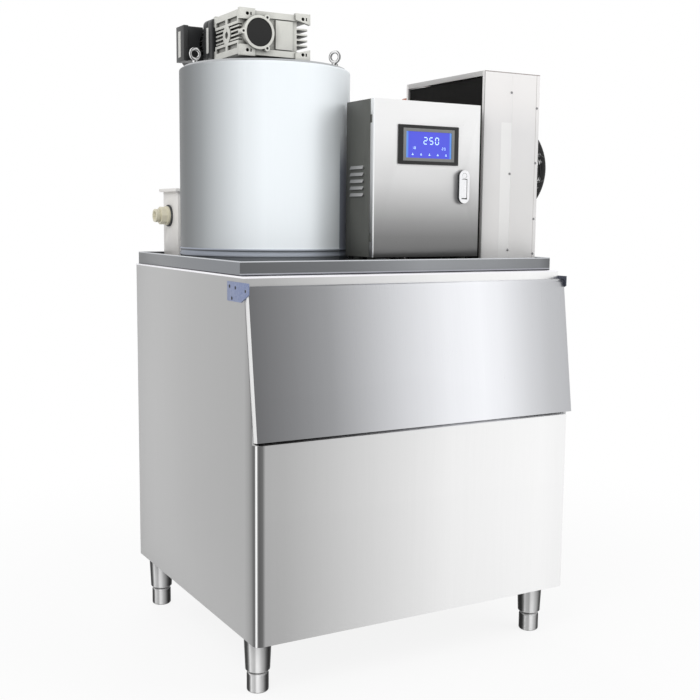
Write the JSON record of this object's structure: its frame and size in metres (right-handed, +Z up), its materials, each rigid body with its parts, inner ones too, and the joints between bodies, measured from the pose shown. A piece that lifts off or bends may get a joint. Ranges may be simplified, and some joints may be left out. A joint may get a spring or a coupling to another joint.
{
  "type": "flake ice machine",
  "caption": "Flake ice machine: scraper drum with gear drive, control box, fan condenser and water tank on an insulated steel ice bin with a slanted lift-up door and screw feet.",
  "frame": {"origin": "on the floor, under the middle of the machine's box", "axes": "+X to the machine's right, +Y to its back, +Z up"},
  "size_m": [1.0674, 0.8642, 1.7101],
  "materials": {
    "stainless": "brushed",
    "zinc": "blue passivated zinc",
    "foam": "rigid foam",
    "white_plastic": "moulded",
    "cream_plastic": "moulded",
    "dark_paint": "semi-gloss paint",
    "cast_aluminium": "die cast",
    "black_plastic": "moulded",
    "screen": "backlit",
    "chrome": "bright",
    "black_fin": "black paint",
    "white_paint": "powder coat",
    "copper": "drawn copper",
    "rubber": "matt"
  },
  "bodies": {
    "machine": {"bin_shell": "stainless", "bin_insulation": "foam", "bin_liner": "stainless", "mouth_trim": "white_plastic", "left_hinge_bracket": "zinc", "right_hinge_bracket": "zinc", "drain_stub": "white_plastic", "leg_sleeves": "stainless", "tray": "stainless", "drum_base": "dark_paint", "drum_jacket": "stainless", "drum_insulation": "foam", "evaporator": "stainless", "drum_cover": "stainless", "lifting_eyes": "zinc", "lower_spider": "dark_paint", "gear_mount": "dark_paint", "gear_case": "cast_aluminium", "gear_end_cap": "black_plastic", "motor_flange": "dark_paint", "motor_body": "dark_paint", "motor_fan_cover": "dark_paint", "terminal_box": "dark_paint", "control_box": "stainless", "mounting_plate": "zinc", "contactors": "white_plastic", "cable_gland": "black_plastic", "condenser_coil": "black_fin", "coil_end_panels": "white_paint", "coil_rails": "white_paint", "fan_shroud": "white_paint", "fan_guard": "black_fin", "fan_motor": "dark_paint", "compressor": "dark_paint", "receiver": "dark_paint", "suction_pipe": "copper", "liquid_pipe": "copper", "discharge_pipe": "copper", "water_tank": "white_plastic", "tank_lid": "white_plastic", "tank_gasket": "rubber", "tank_fitting": "cream_plastic"},
    "bin_door_leaf": {"bin_door": "stainless", "door_core": "foam"},
    "box_door_leaf": {"box_door": "stainless", "display_bezel": "black_plastic", "display_screen": "screen", "latch_plate": "chrome"},
    "handle": {"latch_handle": "chrome"},
    "button": {"latch_button": "chrome"},
    "scraper_rotor": {"main_shaft": "stainless", "ice_scraper": "stainless", "water_pan": "stainless", "output_hub": "stainless"},
    "fan": {"fan_rotor": "black_plastic"},
    "float": {"float_arm": "cream_plastic"},
    "foot_1": {"foot_front_left": "stainless"},
    "foot_2": {"foot_front_right": "stainless"},
    "foot_3": {"foot_back_left": "stainless"},
    "foot_4": {"foot_back_right": "stainless"}
  },
  "joints": [
    {"name": "bin_door_hinge", "type": "hinge", "parent": "machine", "child": "bin_door_leaf", "pos_m": [-0.05625, -0.37301, 0.99691], "axis": [-1, 0, 0], "range_deg": [0, 92]},
    {"name": "box_door_hinge", "type": "hinge", "parent": "machine", "child": "box_door_leaf", "pos_m": [-0.14025, -0.27991, 1.26911], "axis": [0, 0, -1], "range_deg": [0, 110]},
    {"name": "latch_lift", "type": "hinge", "parent": "box_door_leaf", "child": "handle", "pos_m": [0.13325, -0.29991, 1.22561], "axis": [1, 0, 0], "range_deg": [0, 35]},
    {"name": "latch_press", "type": "slide", "parent": "box_door_leaf", "child": "button", "axis": [0, 1, 0], "range_m": [0, 0.003], "stiffness_N_per_m": 400},
    {"name": "scraper_spin", "type": "hinge", "parent": "machine", "child": "scraper_rotor", "pos_m": [-0.28925, 0.03809, 1.55811], "axis": [0, 0, 1], "continuous": true},
    {"name": "fan_spin", "type": "hinge", "parent": "machine", "child": "fan", "pos_m": [0.45975, -0.07091, 1.31511], "axis": [1, 0, 0], "continuous": true},
    {"name": "float_swing", "type": "hinge", "parent": "machine", "child": "float", "pos_m": [-0.42625, 0.35229, 1.17021], "axis": [0, -1, 0], "range_deg": [0, 45]},
    {"name": "foot_screw_1", "type": "slide", "parent": "machine", "child": "foot_1", "axis": [0, 0, -1], "range_m": [0, 0.025]},
    {"name": "foot_screw_2", "type": "slide", "parent": "machine", "child": "foot_2", "axis": [0, 0, -1], "range_m": [0, 0.025]},
    {"name": "foot_screw_3", "type": "slide", "parent": "machine", "child": "foot_3", "axis": [0, 0, -1], "range_m": [0, 0.025]},
    {"name": "foot_screw_4", "type": "slide", "parent": "machine", "child": "foot_4", "axis": [0, 0, -1], "range_m": [0, 0.025]}
  ]
}
